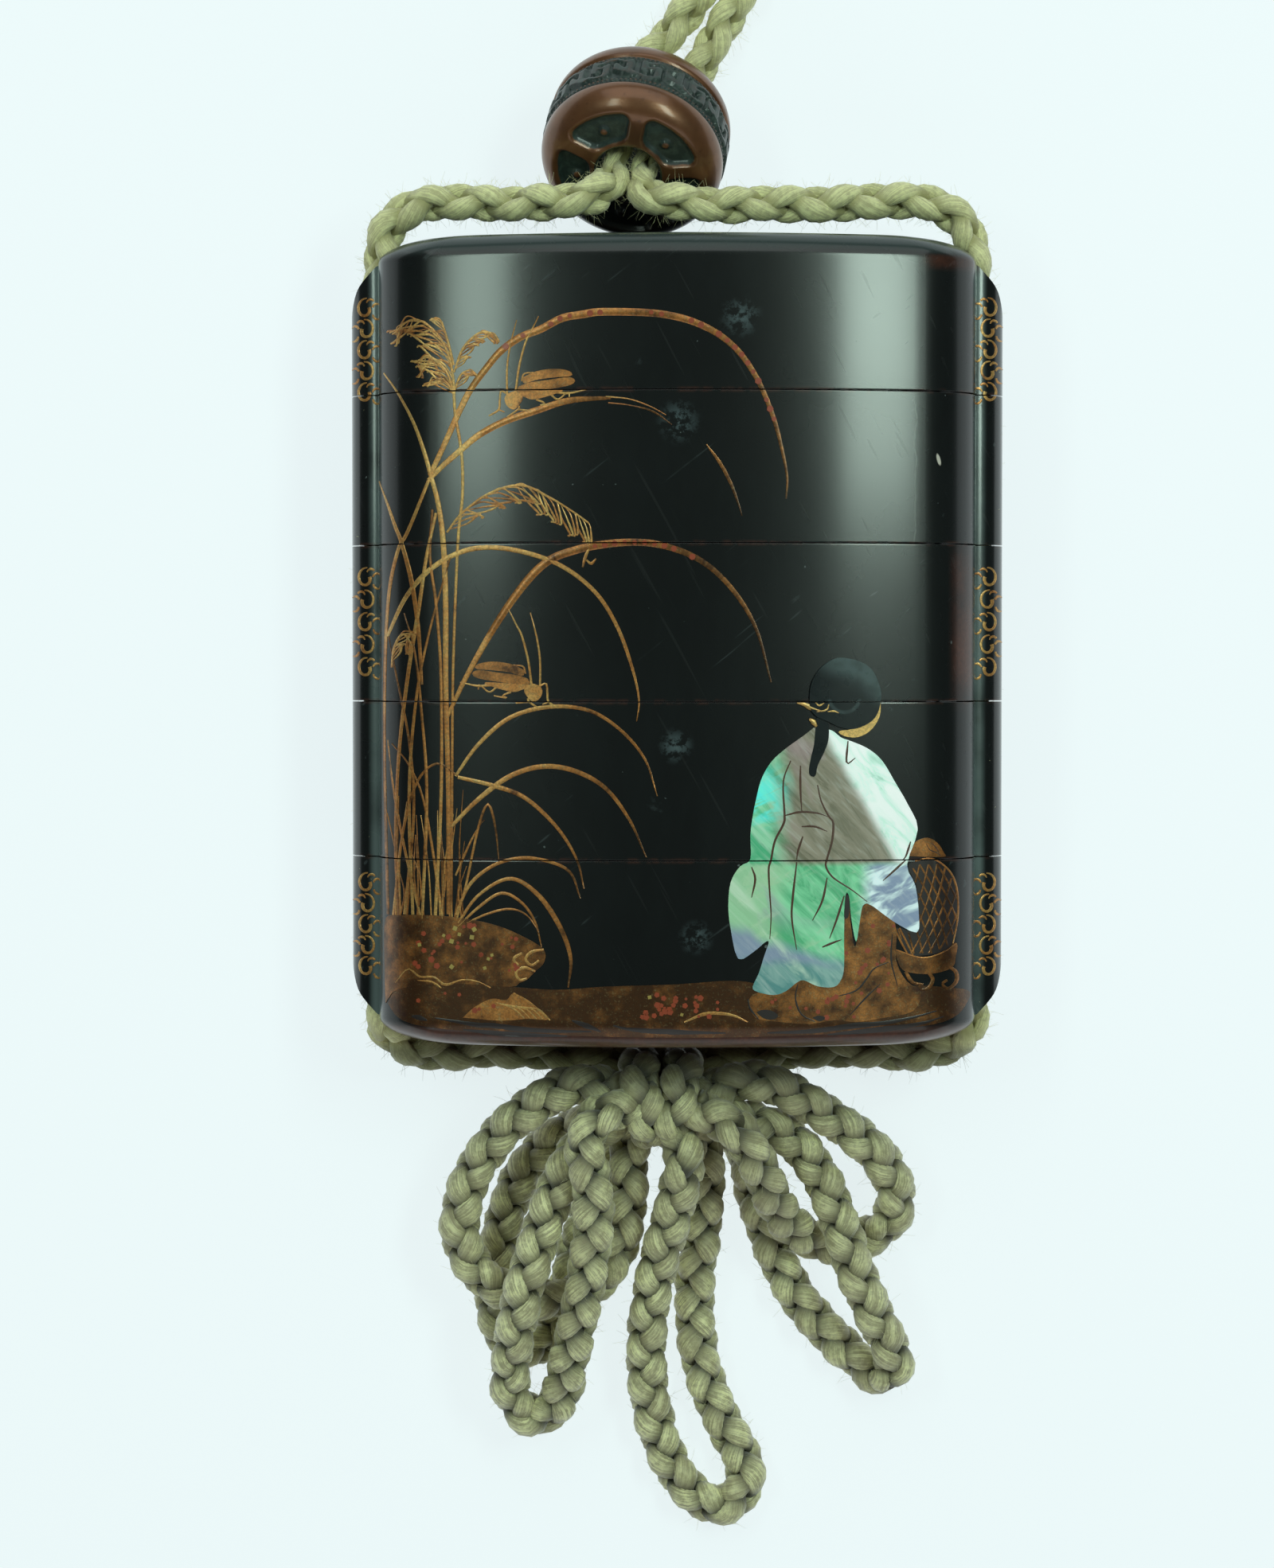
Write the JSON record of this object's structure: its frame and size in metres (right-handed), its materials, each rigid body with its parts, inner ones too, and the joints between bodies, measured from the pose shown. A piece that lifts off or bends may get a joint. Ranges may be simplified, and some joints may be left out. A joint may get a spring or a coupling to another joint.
{
  "type": "inro case",
  "caption": "Flat stacked lacquer case of a lid, shallow boxes and a base, strung on a braided cord with a bead and a bow.",
  "frame": {"origin": "centre of the case's footprint on the surface that it lies on, back down", "axes": "+Z out of the decorated front, +Y towards the lid, +X to the right as the front is seen"},
  "size_m": [0.0546, 0.1447, 0.021],
  "materials": {
    "lacquer": "polished black lacquer",
    "copper": "patinated copper",
    "silk": "braided silk"
  },
  "bodies": {
    "root": {"lid": "lacquer", "case_1": "lacquer", "case_2": "lacquer", "case_3": "lacquer", "base": "lacquer", "ojime": "copper", "cord_left": "silk", "cord_right": "silk", "bow_loop_left_outer": "silk", "bow_loop_left_under": "silk", "bow_loop_left": "silk", "bow_loop_middle": "silk", "bow_loop_right_upper": "silk", "bow_loop_right": "silk", "bow_knot": "silk", "end_knot": "silk"}
  },
  "joints": []
}
